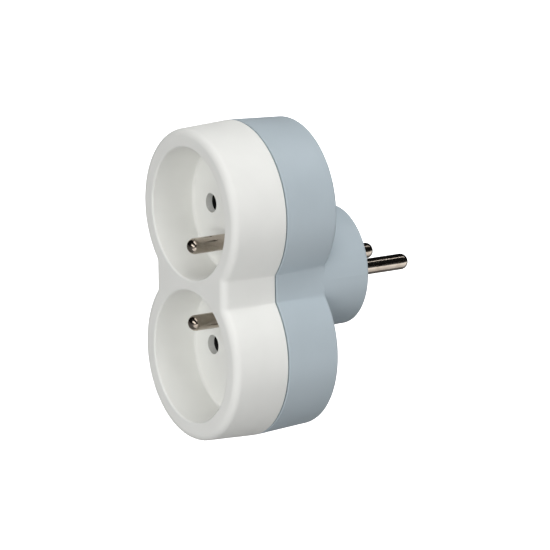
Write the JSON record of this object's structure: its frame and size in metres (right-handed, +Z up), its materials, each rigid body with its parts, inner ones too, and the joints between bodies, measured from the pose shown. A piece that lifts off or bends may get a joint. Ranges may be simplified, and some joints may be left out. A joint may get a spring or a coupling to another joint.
{
  "type": "plug-in socket adapter",
  "caption": "Plug-in socket adapter with a waisted figure-eight body: round earthed socket wells in front, a round plug nose with metal pins behind.",
  "frame": {"origin": "centre of the plug nose's end face, midway between the plug pins", "axes": "+Y out of the plug nose, along its pins and into the wall; +Z up, along the line of the sockets; +X right as one faces the sockets"},
  "size_m": [0.0524, 0.0714, 0.0958],
  "materials": {
    "white_plastic": "satin",
    "blue_grey_plastic": "satin",
    "dark_plastic": "satin",
    "nickel": "polished",
    "brass": "satin",
    "spring_steel": "drawn",
    "zinc_steel": "zinc plated"
  },
  "bodies": {
    "housing": {"front_cover": "white_plastic", "rear_housing": "blue_grey_plastic", "left_plug_pin": "nickel", "right_plug_pin": "nickel", "upper_earth_pin": "nickel", "lower_earth_pin": "nickel", "line_bus_bar": "brass", "neutral_bus_bar": "brass", "earth_bus_bar": "brass", "earth_link": "brass", "earth_rivet": "brass", "plug_earth_contact": "brass", "upper_left_contact": "brass", "upper_right_contact": "brass", "lower_left_contact": "brass", "lower_right_contact": "brass", "contact_rivets": "brass", "upper_shutter_retainer": "white_plastic", "lower_shutter_retainer": "white_plastic", "upper_shutter_spring": "spring_steel", "lower_shutter_spring": "spring_steel", "housing_screws": "zinc_steel"},
    "upper_shutter": {"upper_shutter": "dark_plastic"},
    "lower_shutter": {"lower_shutter": "dark_plastic"}
  },
  "joints": [
    {"name": "upper_shutter_slide", "type": "slide", "parent": "housing", "child": "upper_shutter", "axis": [0, 0, 1], "range_m": [0, 0.0066], "stiffness_N_per_m": 150, "springref_m": -0.004, "deforming": ["upper_shutter_spring"]},
    {"name": "lower_shutter_slide", "type": "slide", "parent": "housing", "child": "lower_shutter", "axis": [0, 0, -1], "range_m": [0, 0.0066], "stiffness_N_per_m": 150, "springref_m": -0.004, "deforming": ["lower_shutter_spring"]}
  ]
}
